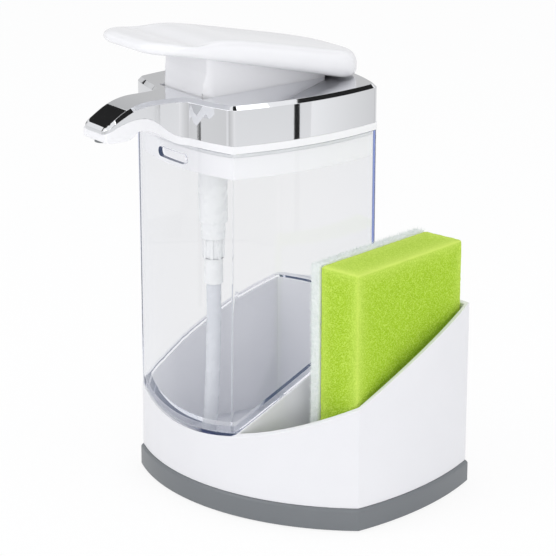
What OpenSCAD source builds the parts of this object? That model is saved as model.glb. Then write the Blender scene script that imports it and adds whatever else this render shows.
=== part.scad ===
// Soap pump caddy: a lever pump on a clear soap tank, beside a sponge pocket, on one grey foot.
// The spout points to -Y and the sponge pocket lies on the +X side.

/* [Tank] */
// Width of the tank between its side corners
tank_w = 70; // [56:1:90]
// Depth of the tank between its front and back corners
tank_d = 72.5; // [60:0.5:90]
// Height of the tank's rim above the table
tank_top = 154.9; // [130:0.1:180]
// Radius of the tank's bowed front and back walls
front_arc = 97.5; // [92:0.5:130]
// How far the tank's side walls bow out
side_bow = 4.75; // [3:0.25:6]
// Thickness of the clear walls
tank_wall = 2; // [1.5:0.1:3]
// Length of the release window in the front wall
window_w = 20; // [12:1:26]
// Height of the release window
window_h = 4; // [3:0.5:6]
// Distance of the window's middle below the rim
window_drop = 6.4; // [5:0.2:8]

/* [Base] */
// How far the pocket reaches past the tank on the right
pocket_reach = 42.6; // [40:0.2:50]
// Turn of the right wall and the sponge towards the tank
pocket_turn = 12.6; // [9:0.2:14]
// How far the right wall bows out
right_bow = 4.5; // [3:0.25:6]
// How far the back wall bows out
back_bow = 5.7; // [4:0.25:8]
// Thickness of the housing walls
wall = 1.8; // [1.4:0.1:2.2]
// Height of the grey tray's upper edge
tray_top = 10.2; // [9:0.2:14]
// How far the tray stands proud of the housing
tray_proud = 1; // [0.5:0.1:2]
// Height of the rim above the table at the front corners
rim_front_h = 37; // [32:1:45]
// Height of the rim at the back
rim_back_h = 82; // [70:1:95]
// Distance over which the rim rises
rim_reach = 100; // [95:1:110]
// How far the rising rim bows up
rim_bow = 5; // [3:0.5:8]
// Turn of the rising rim in plan
rim_turn = 4.2; // [0:0.2:8]

/* [Lid] */
// Height of the white flange above the tank
flange_h = 3.2; // [2.4:0.1:4]
// Height of the chrome cover
cover_h = 16.2; // [15.8:0.1:18]
// Width of the bevel along the cover's top edge
cover_bevel = 1.7; // [0.8:0.1:2]
// Depth of the white skirt inside the tank
skirt_h = 11; // [9:0.5:14]
// Reach of the spout in front of the tank's front corners
spout_reach = 42.8; // [38:0.2:48]
// Half width of the spout along its straight part
spout_half_w = 9; // [8:0.25:10]
// Half width of the spout where it leaves the cover
spout_root = 17; // [15:0.5:19]
// Fall of the spout's upper edge at the tip
spout_drop = 8.6; // [7:0.2:10]

/* [Lever] */
// Width of the press plate
plate_w = 51.4; // [44:0.2:58]
// Reach of the press plate in front of the tank's front corners
plate_front = 28.5; // [25:0.5:32]
// Reach of the press plate behind the tank's back corners
plate_overhang = 5; // [3:0.5:8]
// Thickness of the plate at its rear
plate_rear_t = 9.8; // [8:0.2:11]
// Thickness of the plate at its front
plate_front_t = 4.8; // [4.6:0.2:6]
// Slope of the plate's underside
lever_tilt = 13.4; // [12:0.2:15]
// Height of the plate's underside above the cover at the tank's front
plate_lift = 16.6; // [15:0.2:19]
// Half width of the lever's block at the front
block_half_w = 16; // [13:0.5:17]
// Half width of the lever's block at the rear
block_rear_half_w = 12; // [10:0.5:13]
// Distance of the lever's pin in front of the tank's back corners
pin_in = 6; // [5:0.5:8]
// Diameter of the lever's pin
pin_d = 4; // [3:0.5:5]
// Angle that the lever is pressed through
press_angle = 7; // [5:0.5:7]

/* [Pump] */
// Distance of the pump's axis behind the tank's front corners
pump_y = 14.5; // [13:0.5:18]
// Outer diameter of the pump cylinder
cyl_d = 12; // [11:0.2:13]
// Bore of the pump cylinder
cyl_bore = 9.6; // [9:0.1:10]
// Diameter of the plunger's tube
plunger_d = 7; // [6.4:0.1:7.4]
// Diameter of the fixed riser inside the plunger
riser_d = 4; // [3.6:0.1:4.4]
// Travel of the pump
stroke = 6.4; // [5:0.1:6.4]
// Diameter of the dip tube
dip_d = 6.2; // [5.6:0.1:6.6]
// Diameter of the valve balls
ball_d = 5; // [4.8:0.1:5.2]
// Wire of the return spring
wire_d = 0.7; // [0.5:0.05:0.9]
// Outer diameter of the return spring
spring_d = 8.6; // [8:0.1:9]
// Turns of the return spring
spring_turns = 7; // [5:0.5:8]

/* [Sponge] */
// Thickness of the sponge's foam
foam_t = 20.4; // [16:0.2:21]
// Thickness of the scouring layer
scrub_t = 5; // [3:0.2:7]
// Length of the sponge along the pocket
sponge_len = 68.4; // [64:0.2:80]
// Height of the sponge
sponge_h = 96.6; // [80:0.2:110]

/* [Hidden] */
$fn = 96;
fine = 240;
blend_fn = 32;
// Overrun of every cut past the face that it opens
over = 1;
// Running and assembly clearances
fit = 0.1;
gap = 0.3;
seat_gap = 0.2;
glide = 0.05;
white = [0.93, 0.93, 0.94];
grey = [0.49, 0.52, 0.53];
chrome = [0.78, 0.8, 0.83];
clear = [0.8, 0.86, 0.95, 0.35];
steel = [0.6, 0.61, 0.63];
natural = [0.9, 0.91, 0.93];

// A bowed side: the disc whose edge bows out by s between p and q, on the right of the way p to q
function right_of(p, q) = [(q - p)[1], -(q - p)[0]] / norm(q - p);
function bow_r(p, q, s) = (pow(norm(q - p) / 2, 2) + s * s) / (2 * s);
function bow_c(p, q, s) = (p + q) / 2 - right_of(p, q) * (bow_r(p, q, s) - s);
function bow_disc(p, q, s) = [bow_c(p, q, s), bow_r(p, q, s)];
// Where two circles meet, on the left of the way from the first centre to the second
function meet(a, ra, b, rb) =
    let (d = norm(b - a), along = (ra * ra - rb * rb + d * d) / (2 * d))
    a + (b - a) / d * along - right_of(a, b) * sqrt(ra * ra - along * along);
// A smooth curve with four control points, and its steps
function curve(a, b, c, d, steps = 8) = [for (i = [0:steps]) let (t = i / steps, u = 1 - t)
    u * u * u * a + 3 * u * u * t * b + 3 * u * t * t * c + t * t * t * d];

// Plan of the tank: four corners and four bowed sides
half_w = tank_w / 2;
front_bow = front_arc - sqrt(front_arc * front_arc - half_w * half_w);
tank_fl = [-half_w, 0];
tank_fr = [half_w, 0];
tank_br = [half_w, tank_d];
tank_bl = [-half_w, tank_d];
front_disc = bow_disc(tank_fl, tank_fr, front_bow);
left_disc = bow_disc(tank_bl, tank_fl, side_bow);
tank_plan = [front_disc, bow_disc(tank_fr, tank_br, side_bow),
             bow_disc(tank_br, tank_bl, front_bow), left_disc];

// Plan of the base: the tank's front and left sides run on round the pocket, and the right wall
// is as long as the sponge with its room at both ends
sponge_end_gap = 1.4;
sponge_back_gap = 2;
right_len = sponge_len + sponge_end_gap + sponge_back_gap;
base_fr_x = half_w + pocket_reach;
base_fr = [base_fr_x, front_disc[0][1] - sqrt(pow(front_disc[1], 2) - pow(base_fr_x, 2))];
pocket_along = [-sin(pocket_turn), cos(pocket_turn)];
pocket_in = [-cos(pocket_turn), -sin(pocket_turn)];
base_br = base_fr + right_len * pocket_along;
right_disc = bow_disc(base_fr, base_br, right_bow);
back_disc = bow_disc(base_br, tank_bl, back_bow);
base_plan = [front_disc, right_disc, back_disc, left_disc];

// The model's origin is on the table, under the middle of its outline
far_corner = meet(right_disc[0], right_disc[1] + tray_proud, back_disc[0], back_disc[1] + tray_proud);
middle_x = (right_disc[0][0] + right_disc[1] + left_disc[0][0] - left_disc[1]) / 2;
middle_y = (far_corner[1] - spout_reach) / 2;

// Heights from the table up
pad_proud = 0.6;
pad_sink = 0.8;
pad_d = 12;
tray_floor = 2;
tray_wall = 2;
tray_round = 0.9;
tray_z = pad_proud;
tray_in_z = tray_z + tray_floor;
housing_floor = 2;
floor_z = tray_top + housing_floor;
tank_z = floor_z + seat_gap;
flange_z = tank_top + fit;
deck_top = flange_z + flange_h;
cover_top = deck_top + cover_h;
shoulder = wall + gap;

// The rising rim is the top of a large lying cylinder
rim = bow_disc([rim_reach, rim_back_h], [0, rim_front_h], rim_bow);

// Screws: shank, head and the posts that take them
screw_d = 3;
screw_pilot = 2.5;
screw_hole = 3.4;
screw_head_d = 5.6;
screw_head_h = 1.8;
post_d = 8;
base_post_z = 6.6;
base_screw_len = 7;
// Corners of the base, drawn in towards its middle, carry a pad and a screw each
pad_inset_share = 0.22;
base_mid = (tank_fl + base_fr + base_br + tank_bl) / 4;
pad_spots = [for (c = [tank_fl, base_fr, base_br, tank_bl]) c + (base_mid - c) * pad_inset_share];

// Lid: skirt, well for the pump, lugs for the lever's pin, posts for the cover's screws
skirt_t = 2;
skirt_in = tank_wall + gap + fit;
well_bore = 17;
well_wall = 1.6;
well_floor = 2;
flange_t = 1.2;
guide_t = 2.5;
plunger_sink = 1.2;
plunger_flange_h = 1.5;
end_gap = 0.9;
well_depth = well_floor + flange_t + guide_t + stroke + plunger_flange_h + plunger_sink + end_gap;
well_z = deck_top - well_depth;
lug_t = 3;
lug_w = 9;
lug_gap = 0.6;
pivot_lift = 7.8;
pivot_y = tank_d - pin_in;
pivot_z = deck_top + pivot_lift;
cover_wall = 1.6;
cover_skin = 1.8;
cover_post_d = 6;
cover_pilot = 2.1;
cover_hole = 2.9;
cover_screw_d = 2.5;
cover_head_d = 4.6;
cover_head_h = 1.4;
cover_screw_len = 10;
cover_post_in = 8.5;
cover_spots = [for (sx = [-1, 1], y = [cover_post_in, tank_d - cover_post_in / 2])
               [sx * (half_w - cover_post_in), y]];

// Spout: plan from the cover's front to the tip, and the curves seen from the side as [y, z]
spout_shell = 1.4;
spout_tip_r = 4;
spout_neck = 12;
face_y = -front_bow;
root_y = front_disc[0][1] - sqrt(pow(front_disc[1], 2) - pow(spout_root, 2));
neck_y = face_y - spout_neck;
tip_y = -spout_reach;
function spout_half(inset) =
    let (root = spout_root - inset, side = spout_half_w - inset, tip = tip_y + inset)
    concat([[root, 0]],
        curve([root, root_y], [side + fit, face_y], [side, (face_y * 2 + neck_y) / 3], [side, neck_y]),
        curve([side, tip_y + spout_tip_r], [side, tip], [side, tip], [spout_half_w - spout_tip_r, tip]));
function both_sides(half) = concat(half, [for (i = [len(half) - 1:-1:0]) [-half[i][0], half[i][1]]]);
function lift(line, h) = [for (q = line) q + [0, h]];
function back_again(line) = [for (i = [len(line) - 1:-1:0]) line[i]];
// The spout bends down in front of bend_y; ease is the length over which its curves turn
spout_bend = 26;
bend_y = -spout_bend;
ease = 6;
spout_lip = 2.2;
edge_rise = 10;
under_rise = 8.2;
under_dip = 3.2;
under_skin = 1;
tip_top = cover_top - spout_drop;
tip_edge = tip_top - spout_lip;
edge_top = deck_top + edge_rise;
under_mid = flange_z + under_rise;
under_low = under_mid - under_dip;
top_line = concat([[0, cover_top]],
    curve([bend_y + ease, cover_top], [bend_y - ease, cover_top],
          [tip_y + ease, tip_top + ease / 2], [tip_y, tip_top]));
edge_line = concat([[0, deck_top]],
    curve([root_y, deck_top], [root_y - 1.5 * ease, deck_top],
          [bend_y + 1.5 * ease, edge_top], [bend_y, edge_top]),
    curve([bend_y, edge_top], [bend_y - ease, edge_top],
          [tip_y + ease, tip_edge + ease / 2], [tip_y, tip_edge]));
under_line = concat([[0, flange_z]],
    curve([root_y, flange_z], [root_y - 1.5 * ease, flange_z],
          [bend_y + 1.5 * ease, under_mid], [bend_y, under_mid]),
    curve([bend_y, under_mid], [bend_y - ease / 2, under_mid],
          [bend_y - ease / 2, under_low], [bend_y - 1.2 * ease, under_low]),
    curve([tip_y + ease / 2, under_low], [tip_y, under_low],
          [tip_y, under_low], [tip_y, tip_edge]));

// Outlet: a nozzle ring, a curved tube in the spout and an elbow with the fixed riser
nozzle_in = 4;
nozzle_y = tip_y + nozzle_in;
nozzle_d = 6.4;
nozzle_bore = 3.4;
nozzle_h = 3;
nozzle_proud = 0.9;
nozzle_z = under_low - nozzle_proud;
tube_d = 3.6;
tube_bore = 2.2;
elbow_d = 7;
elbow_h = 5.2;
elbow_lift = 3.1;
elbow_z = deck_top + elbow_lift;
elbow_front = pump_y - elbow_d / 2 - 1.5 * gap;
elbow_socket_d = 5;
rib_t = 3;
elbow_foot = 6;
elbow_foot_y = pump_y + well_bore / 2 + elbow_foot;
tube_mid_z = under_mid + under_skin + tube_d / 2 + gap;
tube_line = concat([[elbow_front, elbow_z]],
    curve([root_y + ease / 2, elbow_z], [root_y - ease, elbow_z],
          [bend_y + 1.5 * ease, tube_mid_z], [bend_y + ease / 2, tube_mid_z], 10),
    curve([bend_y - ease / 2, tube_mid_z], [bend_y - 1.4 * ease, tube_mid_z],
          [nozzle_y, tube_mid_z - ease / 3], [nozzle_y, nozzle_z + nozzle_h], 10));

// Pump: the cylinder hangs by its flange in the lid's well
plunger_len = 21;
plunger_flange_d = 16;
riser_overlap = 14;
piston_foot_h = 1;
seal_h = 4;
barrel_len = 28.3;
spring_ledge = 1.8;
low_len = 7.2;
cage_len = 8.4;
neck_len = 11.2;
cyl_low_d = 10;
cage_d = 9.3;
cage_core_d = 8;
cage_ribs = 8;
cage_rib_t = 1.4;
neck_d = 7.8;
inlet_bore = 4.2;
chamber_d = 5.8;
inlet_seat_len = 2.6;
ball_lift = 1.5;
stop_bore = 4.4;
outlet_ball_d = 4;
outlet_seat_t = 1.2;
outlet_chamber_d = 5.5;
dip_seat = 6.5;
dip_wall = 0.8;
dip_foot = 1.6;
// The dip tube bows a little to the front left on its way down
dip_lean = [-1.8, -2.4];
cyl_top = well_z + well_floor + flange_t;
plunger_top = deck_top - plunger_sink;
piston_z = plunger_top - plunger_len;
riser_z = plunger_top - riser_overlap;
cyl_step_z = cyl_top - barrel_len;
cage_top_z = cyl_step_z - low_len;
neck_top_z = cage_top_z - cage_len;
neck_z = neck_top_z - neck_len;
spring_seat = cyl_step_z + spring_ledge;
inlet_seat_z = cage_top_z - inlet_seat_len;
// Height of a ball's middle over the sharp edge of a bore
function ball_seat(ball, bore) = sqrt(pow(ball / 2, 2) - pow(bore / 2, 2)) + glide;
inlet_ball_z = inlet_seat_z + ball_seat(ball_d, inlet_bore);
stop_z = inlet_ball_z + ball_d / 2 + ball_lift + glide;
outlet_seat_z = piston_z + outlet_seat_t;
outlet_ball_z = outlet_seat_z + ball_seat(outlet_ball_d, tube_bore);

// Gasket round the skirt, just under the flange, and the tongue of the spout's white underside
gasket_h = 1.8;
gasket_t = 1;
tongue_h = 2;

// Lever: block, legs, barrel and the sweep of the block's front about the pin
barrel_d = 8;
block_front = -0.3;
block_r = 5;
block_wall = 2;
block_sink = 1.5;
block_back_in = 4;
block_hollow_in = 16;
neck_reach = 18;
leg_r = 2.5;
leg_t = 3;
leg_gap = 1;
leg_x = elbow_d / 2 + leg_gap;
plate_slope = tan(lever_tilt);
plate_z = cover_top + plate_lift;
function plate_under(y) = plate_z - plate_slope * y;
block_low = cover_top - block_sink;
block_rear = pivot_y - block_back_in;
leg_z = plunger_top + seat_gap + leg_r;
sweep_r = norm([pivot_y - block_front, cover_top - pivot_z]);
sweep_y = pivot_y - sweep_r;
// The cover's hole has short straight corners, clear of the block as it leans forward when pressed
hole_corner = 1.75;
sweep_h = 2 * (pivot_y - block_front) * sin(press_angle / 2) + block_sink;
front_steps = 6;
front_line = [for (i = [0:front_steps]) let (z = block_low + sweep_h * i / front_steps)
    [pivot_y - sqrt(pow(sweep_r, 2) - pow(z - pivot_z, 2)), z]];
block_top_y = front_line[front_steps][0];

// Press plate: two rear, two middle and two front discs with round edges, blended
rear_r = 19;
mid_r = 10;
front_r = 15.7;
rear_edge = 4.4;
front_edge = 2.2;
mid_y = 2;
mid_t = (plate_front_t + plate_rear_t) / 2;
front_lift = 4;
front_tilt = 2;
scoop_r = 20;
scoop_depth = 1.4;
scoop_y = -11;
plate_clear = 0.9;
// The plate's underside bends at the back of its middle discs, and the block's top follows it
bend_in = mid_y + mid_r;
front_foot = [front_edge - plate_front, plate_z + front_lift + (front_r - front_edge) * sin(front_tilt)];
under_points = [front_foot, [bend_in, plate_under(bend_in)], [block_rear, plate_under(block_rear)]];
function arm_top(y) = lookup(y, under_points) - fit;

// Sponge: clear of the pocket's walls; drain slots lie in a row under it
sponge_side_gap = 0.7;
slot_w = 3;
slot_len = 16;
slot_count = 4;
slot_pitch = 12;

module stand() { translate([-middle_x, -middle_y, 0]) children(); }

// A prism over a plan of four discs, each drawn in by inset
module prism(plan, inset, z0, z1) {
    translate([0, 0, z0]) intersection_for (d = plan)
        translate([d[0][0], d[0][1], 0]) cylinder(r = d[1] - inset, h = z1 - z0, $fn = fine);
}

// The same prism with a bevel along its top edge
module bevelled(plan, inset, z0, z1, bevel) {
    intersection_for (d = plan) translate([d[0][0], d[0][1], z0]) {
        cylinder(r = d[1] - inset, h = z1 - z0 - bevel, $fn = fine);
        translate([0, 0, z1 - z0 - bevel])
            cylinder(r1 = d[1] - inset, r2 = d[1] - inset - bevel, h = bevel, $fn = fine);
    }
}

// A solid seen in plan and from the side: the outline in plan cut by the outline of [y, z] points
module plan_and_side(plan, side) {
    intersection() {
        linear_extrude(2 * cover_top) polygon(plan);
        rotate([90, 0, 90]) linear_extrude(4 * spout_root, center = true) polygon(side);
    }
}

// The space under the rising rim, or under a surface that lies lift above it
module under_rim(lift = 0) {
    rotate([0, 0, rim_turn]) translate([0, rim[0][0], rim[0][1]]) rotate([0, 90, 0])
        cylinder(r = rim[1] + lift, h = 4 * tank_w, center = true, $fn = 2 * fine);
}

module foot_pads() color([0.25, 0.26, 0.27]) stand() {
    for (p = pad_spots) translate([p[0], p[1], 0]) cylinder(d = pad_d, h = pad_proud + pad_sink);
}

module base_tray() color(grey) stand() {
    difference() {
        union() {
            difference() {
                bevelled(base_plan, -tray_proud, tray_z, tray_top, tray_round);
                prism(base_plan, tray_wall, tray_in_z, tray_top + over);
            }
            for (p = pad_spots) translate([p[0], p[1], tray_z + pad_sink])
                cylinder(d = post_d, h = base_post_z - tray_z - pad_sink);
        }
        for (p = pad_spots) translate([p[0], p[1], 0]) {
            cylinder(d = pad_d + fit, h = pad_proud + pad_sink);
            cylinder(d = screw_head_d + gap, h = tray_in_z + screw_head_h);
            cylinder(d = screw_hole, h = base_post_z + over);
        }
    }
}

module base_screws() color(steel) stand() {
    for (p = pad_spots) translate([p[0], p[1], tray_in_z]) {
        cylinder(d = screw_head_d, h = screw_head_h);
        cylinder(d = screw_d, h = base_screw_len);
    }
}

module base_housing() color(white) stand() {
    difference() {
        union() {
            difference() {
                intersection() {
                    prism(base_plan, 0, tray_top, 2 * rim_back_h);
                    under_rim();
                }
                prism(tank_plan, wall, floor_z, 3 * rim_back_h);
                difference() {
                    prism(base_plan, wall, floor_z, 3 * rim_back_h);
                    prism(tank_plan, 0, 0, 4 * rim_back_h);
                }
            }
            difference() {
                prism(base_plan, tray_wall + fit, base_post_z, tray_top + fit);
                prism(base_plan, tray_wall + fit + wall, 0, tray_top);
            }
            for (p = pad_spots) translate([p[0], p[1], base_post_z])
                cylinder(d = post_d, h = tray_top - base_post_z + fit);
        }
        for (p = pad_spots) translate([p[0], p[1], 0])
            cylinder(d = screw_pilot, h = tray_in_z + base_screw_len + fit);
        sponge_place() for (i = [0:slot_count - 1])
            translate([(i - (slot_count - 1) / 2) * slot_pitch + sponge_len / 2 - slot_w / 2,
                       (foam_t + scrub_t - slot_len) / 2, 0])
                cube([slot_w, slot_len, floor_z + over]);
    }
}

module tank() color(clear) stand() {
    difference() {
        union() {
            prism(tank_plan, shoulder, tank_z, tank_top);
            difference() {
                prism(tank_plan, 0, rim_front_h / 2, tank_top);
                under_rim(gap);
            }
        }
        prism(tank_plan, shoulder + tank_wall, tank_z + tank_wall, tank_top + over);
        difference() {
            prism(tank_plan, tank_wall, tank_z + tank_wall, tank_top + over);
            under_rim(gap + tank_wall);
        }
        // Release window in the front wall, round at both ends
        translate([0, face_y - over, tank_top - window_drop]) rotate([-90, 0, 0])
            for (s = [-1, 1]) {
                translate([s * (window_w - window_h) / 2, 0, 0])
                    cylinder(d = window_h, h = tank_wall * 2 + over);
                translate([-(window_w - window_h) / 2, -window_h / 2, 0])
                    cube([window_w - window_h, window_h, tank_wall * 2 + over]);
            }
    }
}

module lid() color(white) stand() {
    difference() {
        union() {
            prism(tank_plan, 0, flange_z, deck_top);
            difference() {
                prism(tank_plan, skirt_in, flange_z - skirt_h, flange_z + fit);
                prism(tank_plan, skirt_in + skirt_t, flange_z - skirt_h - over, flange_z);
                difference() {
                    prism(tank_plan, 0, flange_z - gasket_h - fit, flange_z);
                    prism(tank_plan, skirt_in + gasket_t, flange_z - gasket_h - over, flange_z + over);
                }
            }
            translate([0, pump_y, well_z]) cylinder(d = well_bore + 2 * well_wall, h = well_depth);
            for (s = [-1, 1])
                translate([s * (block_rear_half_w + lug_gap + lug_t / 2) - lug_t / 2, pivot_y, 0]) {
                    translate([0, -lug_w / 2, deck_top - fit]) cube([lug_t, lug_w, pivot_lift + fit]);
                    translate([0, 0, pivot_z]) rotate([0, 90, 0]) cylinder(d = lug_w, h = lug_t);
                }
            spout_floor();
        }
        translate([0, pump_y, well_z + well_floor]) cylinder(d = well_bore, h = well_depth);
        translate([0, pump_y, well_z - over]) cylinder(d = cyl_d + 2 * fit, h = well_depth);
        translate([0, pivot_y, pivot_z]) rotate([0, 90, 0])
            cylinder(d = pin_d, h = 4 * block_half_w, center = true);
        for (p = cover_spots) translate([p[0], p[1], flange_z - over]) {
            cylinder(d = cover_hole, h = flange_h + 2 * over);
            cylinder(d = cover_head_d + gap, h = cover_head_h + over);
        }
        // Channel for the outlet tube along the spout, and the nozzle's seat
        intersection() {
            translate([-tube_d / 2 - gap, nozzle_y, deck_top]) cube([tube_d + 2 * gap, -nozzle_y, cover_h]);
            rotate([90, 0, 90]) linear_extrude(4 * spout_root, center = true)
                polygon(concat(lift(under_line, under_skin), [[tip_y, 2 * cover_top], [0, 2 * cover_top]]));
        }
        translate([0, nozzle_y, under_low - over]) cylinder(d = nozzle_d + fit, h = cover_h);
    }
}

// White underside of the spout: flush below the chrome edge, and a tongue inside the chrome shell
module spout_floor() {
    plan_and_side(both_sides(spout_half(0)), concat(under_line, back_again(edge_line)));
    intersection() {
        plan_and_side(both_sides(spout_half(spout_shell + fit)),
                      concat(under_line, back_again(lift(edge_line, tongue_h))));
        plan_and_side(both_sides(spout_half(0)), concat([[0, flange_z], [tip_y, flange_z]],
                      back_again(lift(top_line, -cover_skin - fit))));
    }
}

module lid_gasket() color([0.85, 0.86, 0.88]) stand() {
    difference() {
        prism(tank_plan, tank_wall + gap, flange_z - gasket_h, flange_z - fit);
        prism(tank_plan, skirt_in + gasket_t, flange_z - gasket_h - over, flange_z + over);
    }
}

// Outline of the lever's block, drawn out by grow, with its front corners cut off
function block_line(front, back, grow, cut) =
    let (w0 = block_half_w + grow, w1 = block_rear_half_w + grow)
    [[-w0 + cut, front], [w0 - cut, front], [w0, front + cut], [w1, back], [-w1, back], [-w0, front + cut]];

// The same outline with round front corners
module block_plan(front, back, grow, r) {
    polygon(block_line(front, back, grow, r));
    for (s = [-1, 1]) translate([s * (block_half_w + grow - r), front + r]) circle(r = r);
}

module chrome_cover() color(chrome) stand() {
    difference() {
        union() {
            bevelled(tank_plan, 0, deck_top, cover_top, cover_bevel);
            plan_and_side(both_sides(spout_half(0)), concat(edge_line, back_again(top_line)));
        }
        difference() {
            prism(tank_plan, cover_wall, deck_top - over, cover_top - cover_skin);
            for (p = cover_spots) translate([p[0], p[1], 0]) cylinder(d = cover_post_d, h = 2 * cover_top);
        }
        // Hollow of the spout over its white underside
        plan_and_side(both_sides(spout_half(spout_shell)),
                      concat(lift(edge_line, -over), back_again(lift(top_line, -cover_skin))));
        translate([0, 0, cover_top - cover_skin - over]) linear_extrude(cover_skin + 2 * over)
            polygon(block_line(sweep_y - gap - fit, pivot_y - block_back_in / 2, gap + fit, hole_corner));
        for (p = cover_spots) translate([p[0], p[1], deck_top - over])
            cylinder(d = cover_pilot, h = cover_screw_len + over);
    }
}

module cover_screws() color(steel) stand() {
    for (p = cover_spots) translate([p[0], p[1], flange_z]) {
        cylinder(d = cover_head_d, h = cover_head_h);
        cylinder(d = cover_screw_d, h = cover_screw_len);
    }
}

module outlet_nozzle() color([0.55, 0.57, 0.58]) stand() {
    translate([0, nozzle_y, nozzle_z]) difference() {
        cylinder(d = nozzle_d, h = nozzle_h);
        translate([0, 0, -over]) cylinder(d = nozzle_bore, h = nozzle_h + 2 * over);
    }
}

// A tube swept along points in the plane x = 0, with a bore
module tube_along(path, od, id, sides) {
    n = len(path);
    dirs = [for (i = [0:n - 1]) let (d = path[min(i + 1, n - 1)] - path[max(i - 1, 0)]) d / norm(d)];
    function ring(r) = [for (i = [0:n - 1], k = [0:sides - 1])
        let (c = cos(360 * k / sides) * r, s = sin(360 * k / sides) * r, d = dirs[i],
             side = cross(d, [1, 0, 0]), up = side / norm(side), out = cross(up, d))
        path[i] + out * c + up * s];
    outer = ring(od / 2);
    inner = ring(id / 2);
    m = n * sides;
    skin = [for (i = [0:n - 2], k = [0:sides - 1]) let (a = i * sides + k, b = i * sides + (k + 1) % sides)
        each [[a, b, b + sides], [a, b + sides, a + sides]]];
    bore = [for (f = skin) [f[2] + m, f[1] + m, f[0] + m]];
    ends = [for (k = [0:sides - 1]) let (a = k, b = (k + 1) % sides, e = (n - 1) * sides)
        each [[a, a + m, b + m], [a, b + m, b], [e + a, e + b, e + b + m], [e + a, e + b + m, e + a + m]]];
    polyhedron(points = concat(outer, inner), faces = concat(skin, bore, ends));
}

module outlet_tube() color(natural) stand() {
    tube_along([for (p = tube_line) [0, p[0], p[1]]], tube_d, tube_bore, 12);
}

module outlet_elbow() color(natural) stand() {
    difference() {
        union() {
            translate([0, pump_y, elbow_z - elbow_h / 2]) cylinder(d = elbow_d, h = elbow_h);
            translate([0, elbow_front, elbow_z]) rotate([-90, 0, 0])
                cylinder(d = elbow_socket_d, h = pump_y - elbow_front);
            translate([-rib_t / 2, pump_y, elbow_z - rib_t / 2]) cube([rib_t, elbow_foot_y - pump_y, rib_t]);
            translate([-elbow_foot / 2, elbow_foot_y - elbow_foot / 2, deck_top])
                cube([elbow_foot, elbow_foot, elbow_lift + rib_t / 2]);
            translate([0, pump_y, riser_z]) cylinder(d = riser_d, h = elbow_z - riser_z);
        }
        translate([0, pump_y, riser_z - over]) cylinder(d = tube_bore, h = elbow_z - riser_z + over);
        translate([0, elbow_front - over, elbow_z]) rotate([-90, 0, 0])
            cylinder(d = tube_bore, h = pump_y - elbow_front + over);
    }
}

module pump_cylinder() color(natural) stand() translate([0, pump_y, 0]) {
    difference() {
        union() {
            translate([0, 0, cyl_step_z]) cylinder(d = cyl_d, h = barrel_len);
            translate([0, 0, cyl_top - flange_t]) cylinder(d = well_bore - 2 * fit, h = flange_t);
            translate([0, 0, cage_top_z]) cylinder(d = cyl_low_d, h = low_len + fit);
            translate([0, 0, neck_top_z]) cylinder(d = cage_core_d, h = cage_len + fit);
            for (i = [1:cage_ribs]) rotate([0, 0, i * 360 / cage_ribs])
                translate([0, -cage_rib_t / 2, neck_top_z]) cube([cage_d / 2, cage_rib_t, cage_len + fit]);
            translate([0, 0, neck_z]) cylinder(d = neck_d, h = neck_len + fit);
        }
        translate([0, 0, spring_seat]) cylinder(d = cyl_bore, h = cyl_top);
        translate([0, 0, inlet_seat_z]) cylinder(d = chamber_d, h = stop_z - inlet_seat_z);
        translate([0, 0, inlet_seat_z]) cylinder(d = stop_bore, h = cyl_top);
        translate([0, 0, neck_z]) cylinder(d = inlet_bore, h = cyl_top);
        translate([0, 0, neck_z - over]) cylinder(d = dip_d, h = dip_seat + over);
    }
}

module plunger_guide() color(white) stand() translate([0, pump_y, cyl_top]) {
    difference() {
        cylinder(d = well_bore - 2 * glide, h = guide_t);
        translate([0, 0, -over]) cylinder(d = plunger_d + 2 * glide, h = guide_t + 2 * over);
    }
}

module pump_plunger() color(natural) stand() translate([0, pump_y, piston_z]) {
    difference() {
        union() {
            cylinder(d = plunger_d, h = plunger_len);
            translate([0, 0, plunger_len - plunger_flange_h])
                cylinder(d = plunger_flange_d, h = plunger_flange_h);
            cylinder(d = cyl_bore - 2 * gap, h = piston_foot_h);
        }
        translate([0, 0, riser_z - over - piston_z]) cylinder(d = riser_d + 2 * glide, h = plunger_len);
        translate([0, 0, outlet_seat_t]) cylinder(d = outlet_chamber_d, h = riser_z - over - outlet_seat_z);
        translate([0, 0, -over]) cylinder(d = tube_bore, h = plunger_len);
    }
}

module piston_seal() color([0.3, 0.31, 0.32]) stand() translate([0, pump_y, piston_z + piston_foot_h]) {
    difference() {
        cylinder(d = cyl_bore - 2 * glide, h = seal_h);
        translate([0, 0, -over]) cylinder(d = plunger_d, h = seal_h + 2 * over);
    }
}

// The spring is one tube wound between the cylinder's seat and the plunger's foot
module return_spring() color(steel) stand() translate([0, pump_y, 0]) {
    z0 = spring_seat + wire_d / 2 + glide;
    z1 = piston_z - wire_d / 2 - glide;
    r = (spring_d - wire_d) / 2;
    steps = 8 * spring_turns;
    sides = 6;
    turn = 360 * spring_turns / steps;
    echo(spring_gap = (z1 - z0) / spring_turns - wire_d);
    points = [for (i = [0:steps], k = [0:sides - 1])
        let (out = [cos(turn * i), sin(turn * i), 0], b = 360 * k / sides)
        out * (r + cos(b) * wire_d / 2) + [0, 0, z0 + (z1 - z0) * i / steps + sin(b) * wire_d / 2]];
    skin = [for (i = [0:steps - 1], k = [0:sides - 1])
        let (a = i * sides + k, b = i * sides + (k + 1) % sides)
        each [[a, a + sides, b + sides], [a, b + sides, b]]];
    end = steps * sides;
    caps = [for (k = [1:sides - 2]) each [[0, k, k + 1], [end, end + k + 1, end + k]]];
    polyhedron(points = points, faces = concat(skin, caps));
}

module inlet_ball() color(steel) stand() {
    translate([0, pump_y, inlet_ball_z]) sphere(d = ball_d);
}

module outlet_ball() color(steel) stand() {
    translate([0, pump_y, outlet_ball_z]) sphere(d = outlet_ball_d);
}

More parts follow.
